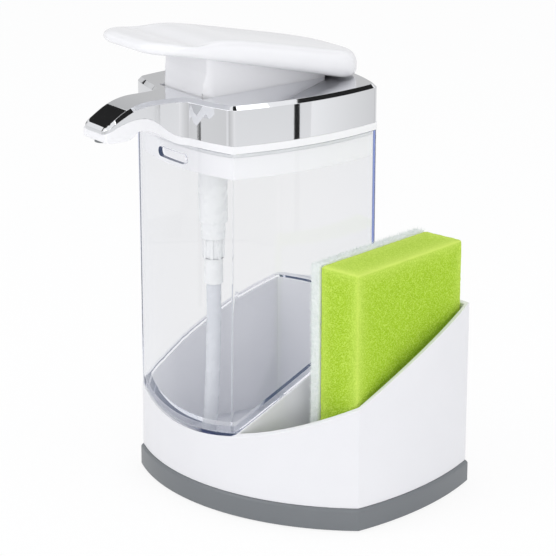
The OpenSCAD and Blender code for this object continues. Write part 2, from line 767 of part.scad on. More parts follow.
module dip_tube() color([0.86, 0.88, 0.92]) stand() translate([0, pump_y, 0]) {
    top = neck_z + dip_seat;
    low = tank_z + tank_wall + dip_foot;
    bend = top - 2 * dip_seat;
    steps = 12;
    tube_along(concat([[0, 0, top]], [for (i = [0:steps]) let (t = i / steps)
        [dip_lean[0] * t * t, dip_lean[1] * t * t, bend + (low - bend) * t]]),
        dip_d, dip_d - 2 * dip_wall, 24);
}

module lever_side() {
    polygon(concat(front_line, [for (y = [block_top_y, bend_in, block_rear]) [y, arm_top(y)]],
        [[block_rear + lug_gap, cover_top - cover_skin - lug_gap],
        [pivot_y, pivot_z + barrel_d / 2],
        [pivot_y, pivot_z - barrel_d / 2], [pivot_y - barrel_d, pivot_z - barrel_d / 2],
        [pivot_y - neck_reach, block_low]]));
}

module lever_arm() color(white) stand() {
    difference() {
        union() {
            difference() {
                intersection() {
                    linear_extrude(2 * cover_top) block_plan(sweep_y, pivot_y, 0, block_r);
                    rotate([90, 0, 90]) linear_extrude(4 * block_half_w, center = true) lever_side();
                }
                // Hollow, open below, under a roof as thick as the walls
                intersection() {
                    linear_extrude(2 * cover_top)
                        block_plan(block_front + 2 * block_wall, pivot_y - block_hollow_in, -block_wall,
                                   block_r - block_wall);
                    rotate([90, 0, 90]) linear_extrude(4 * block_half_w, center = true)
                        polygon(concat([[block_rear, pivot_z], [block_front, pivot_z]],
                            [for (y = [block_front, bend_in, block_rear]) [y, arm_top(y) - block_wall]]));
                }
            }
            translate([0, pivot_y, pivot_z]) rotate([0, 90, 0])
                cylinder(d = barrel_d, h = 2 * block_rear_half_w, center = true);
            for (s = [-1, 1]) translate([s * (leg_x + leg_t / 2) - leg_t / 2, pump_y, leg_z]) {
                translate([0, -leg_r, 0]) cube([leg_t, 2 * leg_r, plate_under(pump_y) - block_wall - leg_z]);
                rotate([0, 90, 0]) cylinder(r = leg_r, h = leg_t);
            }
        }
        translate([0, pivot_y, pivot_z]) rotate([0, 90, 0])
            cylinder(d = pin_d + 2 * glide, h = 4 * block_half_w, center = true);
    }
}

module lever_pin() color(steel) stand() {
    translate([0, pivot_y, pivot_z]) rotate([0, 90, 0])
        cylinder(d = pin_d, h = 2 * (block_rear_half_w + lug_gap + lug_t), center = true);
}

// A disc with a round edge, standing on its flat underside
module puck(r, t, edge) {
    rotate_extrude($fn = blend_fn) hull() {
        square([r - edge, t]);
        for (z = [edge, t - edge]) translate([r - edge, z]) circle(r = edge, $fn = blend_fn / 2);
    }
}

module puck_pair(y, z, r, t, edge, tilt) {
    for (s = [-1, 1]) translate([s * (plate_w / 2 - r), y, z]) rotate([-tilt, 0, 0]) puck(r, t, edge);
}

module plate_mid() {
    puck_pair(mid_y, plate_under(mid_y), mid_r, mid_t, front_edge, lever_tilt);
}

module press_plate() color(white) stand() {
    rear_y = tank_d + plate_overhang - rear_r;
    difference() {
        union() {
            hull() {
                puck_pair(rear_y, plate_under(rear_y), rear_r, plate_rear_t, rear_edge, lever_tilt);
                plate_mid();
            }
            hull() {
                plate_mid();
                puck_pair(front_r - plate_front, plate_z + front_lift, front_r, plate_front_t, front_edge,
                          front_tilt);
            }
        }
        translate([0, scoop_y, plate_z + front_lift + plate_front_t + scoop_r - scoop_depth])
            rotate([0, 90, 0]) cylinder(r = scoop_r, h = 2 * plate_w, center = true);
        // Flat underside over the cover's back edge
        translate([-plate_w, block_rear, cover_top - plate_lift])
            cube([2 * plate_w, plate_w, plate_lift + plate_clear]);
    }
}

// The sponge stands along the right wall: x runs along the wall, y towards the tank
module sponge_place() {
    translate([base_fr[0], base_fr[1], 0]) rotate([0, 0, 90 + pocket_turn])
        translate([sponge_end_gap, wall + sponge_side_gap, 0]) children();
}

module sponge_foam() color([0.66, 0.84, 0.16]) stand() sponge_place()
    translate([0, 0, floor_z + gap]) cube([sponge_len, foam_t, sponge_h]);

module sponge_scrub() color([0.9, 0.93, 0.94]) stand() sponge_place()
    translate([0, foam_t, floor_z + gap]) cube([sponge_len, scrub_t, sponge_h]);

foot_pads();
base_tray();
base_screws();
base_housing();
tank();
lid();
lid_gasket();
chrome_cover();
cover_screws();
outlet_nozzle();
outlet_tube();
outlet_elbow();
pump_cylinder();
plunger_guide();
pump_plunger();
piston_seal();
return_spring();
inlet_ball();
outlet_ball();
dip_tube();
lever_pin();
lever_arm();
press_plate();
sponge_foam();
sponge_scrub();
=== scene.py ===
import math
import random

import bmesh
import bpy
from mathutils import Matrix, Vector, noise


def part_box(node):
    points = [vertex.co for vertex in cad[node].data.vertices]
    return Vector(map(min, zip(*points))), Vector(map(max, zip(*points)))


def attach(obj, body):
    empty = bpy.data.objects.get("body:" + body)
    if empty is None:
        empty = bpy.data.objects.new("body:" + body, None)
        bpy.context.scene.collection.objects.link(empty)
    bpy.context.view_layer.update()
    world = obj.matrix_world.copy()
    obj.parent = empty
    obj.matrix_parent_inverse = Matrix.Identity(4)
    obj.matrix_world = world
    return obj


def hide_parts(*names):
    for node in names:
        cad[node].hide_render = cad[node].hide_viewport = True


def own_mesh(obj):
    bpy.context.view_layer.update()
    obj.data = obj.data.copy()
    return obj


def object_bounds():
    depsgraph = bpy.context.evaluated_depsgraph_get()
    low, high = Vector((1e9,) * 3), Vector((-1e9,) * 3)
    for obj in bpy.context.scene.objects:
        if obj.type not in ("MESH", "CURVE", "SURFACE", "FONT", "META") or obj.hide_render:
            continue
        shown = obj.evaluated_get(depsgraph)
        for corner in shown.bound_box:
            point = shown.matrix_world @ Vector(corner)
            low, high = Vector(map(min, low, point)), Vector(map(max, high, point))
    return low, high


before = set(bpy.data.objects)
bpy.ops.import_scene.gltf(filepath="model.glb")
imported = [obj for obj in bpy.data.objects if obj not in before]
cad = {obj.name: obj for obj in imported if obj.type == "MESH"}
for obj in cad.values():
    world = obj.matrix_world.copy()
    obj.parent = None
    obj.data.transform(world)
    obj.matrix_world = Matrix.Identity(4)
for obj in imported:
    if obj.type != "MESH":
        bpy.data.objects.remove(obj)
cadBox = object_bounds()
mm = 0.001
near = 0.01  # millimetres within which two heights or places count as one
exact = 0.001  # millimetres within which a cut takes the points that are there
print("frame loaded:", len(cad), "nodes")


# building shaders

class Socket:  # a node's output; arithmetic on it adds Math nodes
    def __init__(self, finish, link):
        self.finish, self.link = finish, link

    def math(self, operation, *terms):
        return self.finish.node("ShaderNodeMath", {"operation": operation}, dict(enumerate(terms)))

    def __add__(self, other):
        return self.math("ADD", self, other)

    def __sub__(self, other):
        return self.math("SUBTRACT", self, other)

    def __rsub__(self, other):
        return self.math("SUBTRACT", other, self)

    def __mul__(self, other):
        return self.math("MULTIPLY", self, other)

    __radd__ = __add__
    __rmul__ = __mul__

    def limited(self):
        return self.math("MINIMUM", self.math("MAXIMUM", self, 0.0), 1.0)


class Finish:  # the node tree of one material, or of the world
    def __init__(self, owner):
        owner.use_nodes = True
        self.owner, self.tree = owner, owner.node_tree
        self.tree.nodes.clear()

    def node(self, kind, settings=None, inputs=None, output=0):
        made = self.tree.nodes.new(kind)
        for name, value in (settings or {}).items():
            if name == "stops":
                setStops(made.color_ramp, value)
            else:
                setattr(made, name, value)
        for name, value in (inputs or {}).items():
            if isinstance(value, Socket):
                self.tree.links.new(value.link, made.inputs[name])
            else:
                made.inputs[name].default_value = value
        return Socket(self, made.outputs[output]) if made.outputs else made

    def grain(self, scale, detail=2.0, roughness=0.5):
        place = self.node("ShaderNodeTexCoord", output="Object")
        return self.node("ShaderNodeTexNoise", None,
                         {"Vector": place, "Scale": scale, "Detail": detail, "Roughness": roughness})

    def cells(self, scale):
        place = self.node("ShaderNodeTexCoord", output="Object")
        return self.node("ShaderNodeTexVoronoi", None, {"Vector": place, "Scale": scale})

    def ramp(self, value, *stops):
        return self.node("ShaderNodeValToRGB", {"stops": stops}, {"Fac": value})

    def mixed(self, share, first, second):
        return self.node("ShaderNodeMix", {"data_type": "RGBA"}, {0: share, 6: first, 7: second}, output=2)

    def bump(self, height, strength, depth):
        return self.node("ShaderNodeBump", None,
                         {"Height": height, "Strength": strength, "Distance": depth})

    def surface(self, inputs, volume=None):
        outputs = {"Surface": self.node("ShaderNodeBsdfPrincipled", None, inputs)}
        if volume:
            outputs["Volume"] = volume
        self.node("ShaderNodeOutputMaterial", None, outputs)
        return self.owner


def setStops(ramp, stops):
    while len(ramp.elements) < len(stops):
        ramp.elements.new(0.5)
    for element, (position, colour) in zip(ramp.elements, stops):
        element.position = position
        element.color = colour


def newFinish(name):
    return Finish(bpy.data.materials.new(name))


# camera, room and lamps

view = {
    "place": Vector((753.4, -539.2, 387.5)) * mm,
    "turn": math.radians(54.43),  # from looking along +Y
    "down": math.radians(17.563),
    "frame": 556,  # pixels across the photograph
    "focal": 2334.43,  # pixels
    "centre": 270.36,  # pixel column of the lens axis
    "sensor": 36.0,
    "near": 0.05,
    "far": 20.0,
}

room = {
    "fill": 0.86,
    "fillColour": (0.985, 0.99, 1.0, 1.0),
    "floor": 14.0,
    "floorColour": (0.93, 0.93, 0.935, 1.0),
    "floorWhite": 0.86,  # share of the floor that shows plain white
    # what metal shows of the room: shades by distance over the floor, and by height in the sky
    "floorFade": 2.0,
    "floorShades": ((0.0, 0.94), (0.27, 0.89), (0.5, 0.74), (1.0, 0.58)),
    "skyShades": ((0.0, 0.85), (0.12, 0.70), (0.32, 0.70), (0.52, 1.0)),
}

lamps = {
    "keyLamp": {"place": (-0.5, -1.3, 1.1), "size": 1.0, "watts": 4.6},
    "topLamp": {"place": (0.4, 0.1, 1.5), "size": 0.9, "watts": 2.6},
    "fillLamp": {"place": (1.1, -0.5, 0.2), "size": 0.8, "watts": 3.4},
}


# panels round the object that only show as reflections: place in millimetres, width and height in
# metres, and the shades of their two ends
panels = {
    "topPanel": ((-1180, 810, 690), 1.5, 0.80, (0.66, 0.54)),
    "rearFlag": ((166, 811, 1010), 0.66, 0.42, (0.02, 0.02)),
    "leftFlag": ((-795, -170, 770), 0.62, 0.24, (0.02, 0.03)),
    "cornerFlag": ((-973, -30, 402), 0.10, 0.10, (0.02, 0.02)),
    "spoutFlag": ((300, -118, 680), 0.30, 0.66, (0.02, 0.02)),
    "lowPanel": ((240, 395, 30), 0.42, 0.24, (1.00, 0.62)),
    "frontPanel": ((-133, -340, 59), 0.14, 0.34, (0.78, 0.74)),
    "nearPanel": ((197, -371, 40), 0.56, 0.34, (0.62, 0.95)),
    "frontSeam": ((-166, -273, 80), 0.014, 0.30, (0.02, 0.02)),
    "rightSeam": ((274, 142, 96), 0.014, 0.30, (0.02, 0.02)),
}
panelsFace = Vector((-3, -25, 164))  # the place on the collar that the panels are turned to


def addPanels():
    for name, (place, width, height, shades) in panels.items():
        bm = bmesh.new()
        bmesh.ops.create_grid(bm, x_segments=1, y_segments=1, size=0.5)
        bmesh.ops.scale(bm, verts=bm.verts, vec=(width, height, 1.0))
        turn = (Vector(place) - panelsFace).to_track_quat("Z", "Y").to_matrix().to_4x4()
        panel = meshObject(name, bm)
        panel.matrix_world = Matrix.Translation(Vector(place) * mm) @ turn
        finish = newFinish(name + "Paint")
        across = finish.node("ShaderNodeSeparateXYZ", None,
                             {0: finish.node("ShaderNodeTexCoord", output="Object")})
        share = (across * (1.0 / width) + 0.5).limited()
        shade = finish.ramp(share, *greys((0.0, shades[0]), (1.0, shades[1])))
        glow = finish.node("ShaderNodeEmission", None, {"Color": shade, "Strength": 1.0})
        finish.node("ShaderNodeOutputMaterial", None, {"Surface": glow})
        panel.data.materials.append(finish.owner)
        panel.visible_camera = panel.visible_diffuse = panel.visible_transmission = False
        panel.visible_shadow = panel.visible_volume_scatter = False


def addCamera():
    data = bpy.data.cameras.new("camera")
    data.sensor_width = view["sensor"]
    data.lens = view["focal"] * view["sensor"] / view["frame"]
    data.shift_x = (view["frame"] / 2 - view["centre"]) / view["frame"]
    data.clip_start, data.clip_end = view["near"], view["far"]
    camera = bpy.data.objects.new("camera", data)
    camera.location = view["place"]
    camera.rotation_euler = (math.pi / 2 - view["down"], 0.0, view["turn"])
    bpy.context.scene.collection.objects.link(camera)
    bpy.context.scene.camera = camera


def greys(*stops):
    return [(at, [shade] * 3 + [1.0]) for at, shade in stops]


def seenShare(finish):  # 1 for rays from the camera, mirrored or through plastic, and 0 for soft light
    shares = [finish.node("ShaderNodeLightPath", output=name)
              for name in ("Is Camera Ray", "Is Glossy Ray", "Is Transmission Ray")]
    return (shares[0] + shares[1] + shares[2]).limited()


def addRoom():
    world = bpy.data.worlds.new("room")
    bpy.context.scene.world = world
    sky = Finish(world)
    fill = sky.node("ShaderNodeBackground", None, {"Color": room["fillColour"], "Strength": room["fill"]})
    rise = sky.node("ShaderNodeSeparateXYZ", None,
                    {0: sky.node("ShaderNodeTexCoord", output="Generated")}, output=2)
    shown = sky.mixed(sky.node("ShaderNodeLightPath", output="Is Glossy Ray"), (1.0, 1.0, 1.0, 1.0),
                      sky.ramp(rise, *greys(*room["skyShades"])))
    white = sky.node("ShaderNodeBackground", None, {"Color": shown, "Strength": 1.0})
    both = sky.node("ShaderNodeMixShader", None, {0: seenShare(sky), 1: fill, 2: white})
    sky.node("ShaderNodeOutputWorld", None, {"Surface": both})

    bm = bmesh.new()
    bmesh.ops.create_grid(bm, x_segments=1, y_segments=1, size=room["floor"] / 2)
    floor = meshObject("floor", bm)
    finish = newFinish("floorPaint")
    paint = finish.node("ShaderNodeBsdfDiffuse", None, {"Color": room["floorColour"]})
    reach = finish.node("ShaderNodeVectorMath", {"operation": "LENGTH"},
                        {0: finish.node("ShaderNodeTexCoord", output="Object")}, output="Value")
    shown = finish.mixed(finish.node("ShaderNodeLightPath", output="Is Glossy Ray"), (1.0, 1.0, 1.0, 1.0),
                         finish.ramp(reach * (1.0 / room["floorFade"]), *greys(*room["floorShades"])))
    glow = finish.node("ShaderNodeEmission", None, {"Color": shown, "Strength": 1.0})
    both = finish.node("ShaderNodeMixShader", None,
                       {0: seenShare(finish) * room["floorWhite"], 1: paint, 2: glow})
    finish.node("ShaderNodeOutputMaterial", None, {"Surface": both})
    floor.data.materials.append(finish.owner)


def addLamps():
    aim = (cadBox[0] + cadBox[1]) / 2
    for name, lamp in lamps.items():
        data = bpy.data.lights.new(name, "AREA")
        data.size, data.energy = lamp["size"], lamp["watts"]
        light = bpy.data.objects.new(name, data)
        light.location = lamp["place"]
        light.rotation_euler = (aim - light.location).to_track_quat("-Z", "Y").to_euler()
        bpy.context.scene.collection.objects.link(light)


def meshObject(name, bm):
    mesh = bpy.data.meshes.new(name)
    bm.to_mesh(mesh)
    bm.free()
    piece = bpy.data.objects.new(name, mesh)
    bpy.context.scene.collection.objects.link(piece)
    return piece


addCamera()
addRoom()
addLamps()
addPanels()
print("camera, room and lamps stand")


# finishes

# one white plastic in two copies: the lever's, lid's and plate's white is its own colour raised with
# painted light for the block that the plate shades; the housing's is the same plastic darkened with painted
# shade
plasticWhiteLit = {"colour": (0.89, 0.89, 0.91, 1.0), "shade": (0.84, 0.84, 0.865, 1.0), "roughness": 0.2}
plasticWhiteShaded = {"colour": (0.82, 0.82, 0.845, 1.0), "shade": (0.765, 0.765, 0.795, 1.0), "roughness": 0.24}
plasticGrey = {"colour": (0.175, 0.187, 0.20, 1.0), "shade": (0.152, 0.164, 0.177, 1.0), "roughness": 0.42}
chromeSkin = {"colour": (0.80, 0.81, 0.835, 1.0), "roughness": 0.035,
              "haze": 60.0, "spread": 0.03, "less": 0.01}
# a faint blue glow stands for the light that the clear walls scatter
clearPlastic = {"colour": (0.99, 0.978, 0.945, 1.0), "roughness": 0.01, "index": 1.34,
                "tint": (0.25, 0.38, 0.80, 1.0), "density": 24.0,
                "scatter": (0.36, 0.50, 0.85, 1.0), "scattered": 0.022,
                "waves": 55.0, "waveStrength": 0.05, "waveDepth": 0.05}
foamGreen = {"light": (0.70, 0.88, 0.165, 1.0), "middle": (0.385, 0.635, 0.022, 1.0),
             "deep": (0.27, 0.50, 0.012, 1.0), "pore": 2000.0, "cloud": 1300.0,
             "bump": 0.8, "depth": 0.45}
fleeceWhite = {"light": (0.88, 0.91, 0.90, 1.0), "deep": (0.73, 0.79, 0.77, 1.0), "grain": 900.0,
               "bump": 0.9, "depth": 0.4}
# scale of the grain, how far it spreads the roughness, and the strength of its bump with its depth
# in millimetres
mouldedSkin = {"wide": 28.0, "wideShare": 0.8, "fineShare": 0.2, "spread": 0.08, "bump": 0.12, "index": 1.5}
milkySkin = {"cloud": 180.0, "deepShare": 0.92, "spread": 0.1, "least": 0.22, "index": 1.45}
metalSkin = {"brushed": 900.0, "spread": 0.15, "less": 0.07, "bump": 0.1, "depth": 0.02}
rubberSkin = {"speckle": 1100.0, "deepShare": 0.8, "spread": 0.2, "least": 0.55, "bump": 0.3, "depth": 0.04}


def moulded(name, values, grain=700.0, depth=0.02):  # moulded plastic with a faint grain
    finish = newFinish(name)
    fine = finish.grain(grain, 3.0)
    wide = finish.grain(mouldedSkin["wide"], 2.0)
    share = (wide * mouldedSkin["wideShare"] + fine * mouldedSkin["fineShare"]).limited()
    return finish.surface({
        "Base Color": finish.mixed(share, values["shade"], values["colour"]),
        "Roughness": wide * mouldedSkin["spread"] + (values["roughness"] - mouldedSkin["spread"] / 2),
        "Normal": finish.bump(fine, mouldedSkin["bump"], depth * mm),
        "IOR": mouldedSkin["index"]})


def chromed(name):
    finish = newFinish(name)
    haze = finish.grain(chromeSkin["haze"], 4.0)
    return finish.surface({
        "Base Color": chromeSkin["colour"],
        "Metallic": 1.0,
        "Roughness": haze * chromeSkin["spread"] + (chromeSkin["roughness"] - chromeSkin["less"])})


def clear(name):
    finish = newFinish(name)
    waves = finish.grain(clearPlastic["waves"], 1.0)
    tint = finish.node("ShaderNodeVolumeAbsorption", None,
                       {"Color": clearPlastic["tint"], "Density": clearPlastic["density"]})
    return finish.surface({
        "Base Color": clearPlastic["colour"],
        "Roughness": clearPlastic["roughness"],
        "Transmission Weight": 1.0,
        "IOR": clearPlastic["index"],
        "Emission Color": clearPlastic["scatter"],
        "Emission Strength": clearPlastic["scattered"],
        "Normal": finish.bump(waves, clearPlastic["waveStrength"], clearPlastic["waveDepth"] * mm)}, tint)


def milky(name, colour, cover):  # natural plastic; cover is how much it hides
    finish = newFinish(name)
    cloud = finish.grain(milkySkin["cloud"], 3.0)
    deep = [milkySkin["deepShare"] * c for c in colour] + [1.0]
    return finish.surface({
        "Base Color": finish.mixed(cloud, deep, [*colour, 1.0]),
        "Roughness": cloud * milkySkin["spread"] + milkySkin["least"],
        "Alpha": cover,
        "IOR": milkySkin["index"]})


def metal(name, colour, roughness):
    finish = newFinish(name)
    brushed = finish.grain(metalSkin["brushed"], 4.0)
    return finish.surface({
        "Base Color": [*colour, 1.0],
        "Metallic": 1.0,
        "Roughness": brushed * metalSkin["spread"] + (roughness - metalSkin["less"]),
        "Normal": finish.bump(brushed, metalSkin["bump"], metalSkin["depth"] * mm)})


def rubbery(name, colour):
    finish = newFinish(name)
    speckle = finish.grain(rubberSkin["speckle"], 3.0)
    deep = [rubberSkin["deepShare"] * c for c in colour] + [1.0]
    return finish.surface({
        "Base Color": finish.mixed(speckle, deep, [*colour, 1.0]),
        "Roughness": speckle * rubberSkin["spread"] + rubberSkin["least"],
        "Normal": finish.bump(speckle, rubberSkin["bump"], rubberSkin["depth"] * mm)})


def foamed(name):
    finish = newFinish(name)
    pores = finish.ramp(finish.cells(foamGreen["pore"]), (0.18, (0, 0, 0, 1)), (0.62, (1, 1, 1, 1)))
    cloud = finish.grain(foamGreen["cloud"], 4.0, 0.6)
    # the edgeGlow attribute lays painted light into the foam's colour: lighter green along its edges and on
    # its top face
    edge = finish.node("ShaderNodeAttribute", {"attribute_name": "edgeGlow"}, output="Fac")
    shade = (pores * 0.35 + cloud * 0.75 - 0.05).limited()
    base = finish.ramp(shade, (0.12, foamGreen["deep"]), (0.5, foamGreen["middle"]),
                       (0.95, foamGreen["light"]))
    return finish.surface({
        "Base Color": finish.mixed((edge * 0.7).limited(), base, foamGreen["light"]),
        "Roughness": 0.95,
        "Specular IOR Level": 0.15,
        "Normal": finish.bump(pores * 0.6 + cloud, foamGreen["bump"], foamGreen["depth"] * mm)})


def fleeced(name):
    finish = newFinish(name)
    fibre = finish.grain(fleeceWhite["grain"], 6.0, 0.75)
    base = finish.ramp(fibre, (0.3, fleeceWhite["deep"]), (0.62, fleeceWhite["light"]))
    return finish.surface({
        "Base Color": base,
        "Roughness": 0.9,
        "Specular IOR Level": 0.2,
        "Normal": finish.bump(fibre, fleeceWhite["bump"], fleeceWhite["depth"] * mm)})


finishes = {
    "white": moulded("litWhitePlastic", plasticWhiteLit),
    # the same white plastic, darkened with painted shade
    "shell": moulded("shellPlastic", plasticWhiteShaded),
    "grey": moulded("greyPlastic", plasticGrey, 1500.0, 0.05),
    "chrome": chromed("chromePlate"),
    "clear": clear("clearPlastic"),
    "natural": milky("naturalPlastic", (0.87, 0.88, 0.89), 1.0),
    "tube": milky("tubePlastic", (0.80, 0.82, 0.87), 0.8),
    "steel": metal("steel", (0.60, 0.61, 0.63), 0.3),
    "pad": rubbery("padRubber", (0.10, 0.10, 0.11)),
    "seal": rubbery("sealRubber", (0.80, 0.81, 0.83)),
    "darkSeal": rubbery("darkRubber", (0.16, 0.165, 0.17)),
    "foam": foamed("greenFoam"),
    "fleece": fleeced("whiteFleece"),
}
print("finishes made:", len(finishes))


# pieces that keep the shape of the frame's nodes

kept = {
    "foot_pads": "pad", "base_screws": "steel", "lid_gasket": "seal", "cover_screws": "steel",
    "outlet_tube": "natural", "outlet_elbow": "natural", "plunger_guide": "white",
    "pump_plunger": "natural", "piston_seal": "darkSeal",
    "inlet_ball": "steel", "outlet_ball": "steel", "lever_pin": "steel",
}

# node: name, body, finish, slot, and width of the edges' rounding in millimetres; wider ones on the
# housing and the tank throw out stray points
eased = {
    "base_tray": ("greyTray", "base", "grey", "grey_plastic", 0.5),
    # the housing takes the copy of the white plastic darkened with painted shade
    "base_housing": ("whiteHousing", "base", "shell", "white_plastic", 0.25),
    "tank": ("clearTank", "tank", "clear", "clear_plastic", 0.11),
    "lid": ("whiteLid", "lid", "white", "white_plastic", 0.2),
    "outlet_nozzle": ("nozzleRing", "lid", "grey", "grey_plastic", 0.25),
    "lever_arm": ("leverBlock", "lever", "white", "white_plastic", 0.5),
    "pump_cylinder": ("pumpBarrel", "lid", "natural", "natural_plastic", 0.2),
    "dip_tube": ("dipTube", "lid", "tube", "dip_tube", 0.15),
}
easing = {"merge": 0.02, "flat": math.radians(0.4), "sharp": math.radians(28), "segments": 3}
tankPosts = {"outer": 1.8, "inner": 1.2, "segments": 4, "least": 3.0, "slopeShare": 0.02, "angle": 0.5}
blockTop = {"from": 178.0, "raise": 1.5}  # the block's top ends inside the press plate


def roundPosts(bm):  # the tank's upright corners
    for convex, radius in ((True, tankPosts["outer"]), (False, tankPosts["inner"])):
        posts = []
        for e in bm.edges:
            way = e.verts[0].co - e.verts[1].co
            upright = (abs(way.z) > tankPosts["least"] * mm
                       and way.xy.length < tankPosts["slopeShare"] * abs(way.z))
            if (upright and len(e.link_faces) == 2 and e.calc_face_angle() > tankPosts["angle"]
                    and e.is_convex == convex):
                posts.append(e)
        bmesh.ops.bevel(bm, geom=posts, offset=radius * mm, segments=tankPosts["segments"], profile=0.5,
                        affect="EDGES", material=-1)


def easedCopy(node, width):  # a merged copy of a node, with its sharp edges rounded
    bm = bmesh.new()
    bm.from_mesh(cad[node].data)
    bmesh.ops.remove_doubles(bm, verts=bm.verts, dist=easing["merge"] * mm)
    bmesh.ops.dissolve_degenerate(bm, edges=bm.edges, dist=easing["merge"] * mm)
    bmesh.ops.dissolve_limit(bm, angle_limit=easing["flat"], verts=bm.verts, edges=bm.edges)
    if node == "tank":
        roundPosts(bm)
    if node == "lever_arm":
        bmesh.ops.translate(bm, vec=(0.0, 0.0, blockTop["raise"] * mm),
                            verts=[v for v in bm.verts if v.co.z > blockTop["from"] * mm])
    for face in bm.faces:
        face.smooth = True
    piece = meshObject(eased[node][0], bm)
    softEdges(piece, width)
    return piece


def softEdges(piece, width, clamp=False):
    soft = piece.modifiers.new("edges", "BEVEL")
    soft.limit_method, soft.angle_limit = "ANGLE", easing["sharp"]
    soft.width, soft.segments, soft.miter_outer = width * mm, easing["segments"], "MITER_SHARP"
    soft.use_clamp_overlap = clamp
    piece.modifiers.new("flats", "WEIGHTED_NORMAL")


for node, finish in kept.items():
    cad[node].data.materials.clear()
    cad[node].data.materials.append(finishes[finish])
for node, (name, body, finish, slot, width) in eased.items():
    piece = easedCopy(node, width)
    piece.data.materials.clear()
    piece.data.materials.append(finishes[finish])
    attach(piece, body)
    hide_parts(node)
    if node == "tank":  # soft light and the lamps reach what stands inside
        piece.visible_diffuse = piece.visible_shadow = False
    print("eased", name)


# return spring, squeezed between the cylinder's seat and the plunger

spring = {"stroke": 6.4, "weld": 0.001}


def makeSpring():
    bm = bmesh.new()
    bm.from_mesh(cad["return_spring"].data)
    bmesh.ops.remove_doubles(bm, verts=bm.verts, dist=spring["weld"] * mm)
    piece = meshObject("returnSpring", bm)
    piece.data.materials.append(finishes["steel"])
    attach(piece, "lid")
    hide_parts("return_spring")
    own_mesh(piece)


makeSpring()
print("return spring made")


# press plate

plate = {  # heights and slopes on the tank's own y, which starts at its front corners
    "frontCorner": 15.7, "rearCorner": 19.0, "cornerSteps": 12,
    "edge": 4.3, "edgeSteps": 7, "deep": 10.0,
    "frontUnder": (195.2, 0.0, 0.0), "rearUnder": (190.9, 0.2382, 0.0),
    "frontTop": (200.0, 0.045, -25.3), "rearTop": (200.1, 0.2068, 0.0),
    "turn": 2.2,  # length over which two slopes run into each other
    "crown": 0.5, "crownFrom": -2.0, "crownReach": 20.0, "slice": 2.4,
    "dishAt": -9.0, "dishReach": 9.0, "dishDepth": 1.5, "dishSpread": 4,
    "clear": 0.9, "thin": 0.3,
}
tankFront = -30.149  # the tank's front corners, in millimetres


def smooth(value):
    value = min(max(value, 0.0), 1.0)
    return value * value * (3 - 2 * value)


def sloped(line, y):
    height, slope, start = line
    return height - slope * (y - start)


def lower(first, second, turn):  # the lower of two heights, with a rounded change from one to the other
    return (first + second) / 2 - math.sqrt(((first - second) / 2) ** 2 + turn * turn / 16)


def makePressPlate():
    low, high = (Vector(c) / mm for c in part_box("press_plate"))
    width, length = high.x - low.x, high.y - low.y
    half = plate["deep"] / 2
    bm = bmesh.new()
    bmesh.ops.create_cube(bm, size=1.0)
    bmesh.ops.scale(bm, verts=bm.verts, vec=(width, length, plate["deep"]))
    for front, radius in ((True, plate["frontCorner"]), (False, plate["rearCorner"])):
        posts = [e for e in bm.edges if abs(e.verts[0].co.z - e.verts[1].co.z) > half
                 and (e.verts[0].co.y < 0) == front]
        bmesh.ops.bevel(bm, geom=posts, offset=radius, segments=plate["cornerSteps"], profile=0.5,
                        affect="EDGES", material=-1)
    rims = [e for e in bm.edges if abs(e.verts[0].co.z - e.verts[1].co.z) < near]
    bmesh.ops.bevel(bm, geom=rims, offset=plate["edge"], segments=plate["edgeSteps"], profile=0.5,
                    affect="EDGES", material=-1)
    for axis, reach in ((1, length), (0, width)):
        count = int(reach / plate["slice"])
        for i in range(1, count):
            at, normal = Vector(), Vector()
            at[axis], normal[axis] = reach * (i / count - 0.5), 1.0
            bmesh.ops.bisect_plane(bm, geom=bm.verts[:] + bm.edges[:] + bm.faces[:], plane_co=at,
                                   plane_no=normal, dist=exact)
    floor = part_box("chrome_cover")[1].z / mm + plate["clear"]
    bmesh.ops.translate(bm, verts=bm.verts, vec=((low.x + high.x) / 2, (low.y + high.y) / 2, 0.0))
    for v in bm.verts:
        y = v.co.y - tankFront
        share = (v.co.z + half) / plate["deep"]
        under = lower(sloped(plate["frontUnder"], y), sloped(plate["rearUnder"], y), plate["turn"])
        top = lower(sloped(plate["frontTop"], y), sloped(plate["rearTop"], y), plate["turn"])
        across = 1 - ((2 * v.co.x - low.x - high.x) / width) ** 2
        dish = plate["dishDepth"] * math.exp(-2 * ((y - plate["dishAt"]) / plate["dishReach"]) ** 2)
        crown = plate["crown"] * across * smooth((y - plate["crownFrom"]) / plate["crownReach"])
        top += crown - dish * smooth(across * plate["dishSpread"])
        v.co.z = max(under + share * (top - under), floor + plate["thin"] * share)
    bmesh.ops.scale(bm, verts=bm.verts, vec=(mm, mm, mm))
    for face in bm.faces:
        face.smooth = True
    piece = meshObject("pressPlate", bm)
    piece.data.materials.append(finishes["white"])
    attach(piece, "lever")
    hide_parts("press_plate")


makePressPlate()
print("press plate made")


# chrome cover

cover = {  # its y starts at the tank's front corners, as the plate's
    "halfWidth": 35.0, "depth": 72.5, "frontBow": 6.5, "sideBow": 4.75, "steps": 28,
    "low": 158.2, "top": 174.4, "bevel": 1.6, "corner": 1.8, "soft": 0.15, "least": 0.35, "wall": 1.5,
    "root": 17.0, "half": 9.0, "neck": -18.5, "tip": -42.8, "tipRound": 3.4, "slice": 1.1,
    "bend": -26.0, "ease": 6.0, "glide": 9.0, "drop": 8.6, "lip": 2.2, "rise": 10.0, "rootEase": 0.1,
    "rootSteps": 14, "tipSteps": 8, "frontSteps": 9, "lineSteps": 12, "cornerSteps": 3, "thinBevels": 2.5,
    "hole": {"front": -1.2, "rear": 64.5, "frontHalf": 16.4, "rearHalf": 12.4},
}
tankMiddle = -18.957  # the middle between the tank's sides, in millimetres


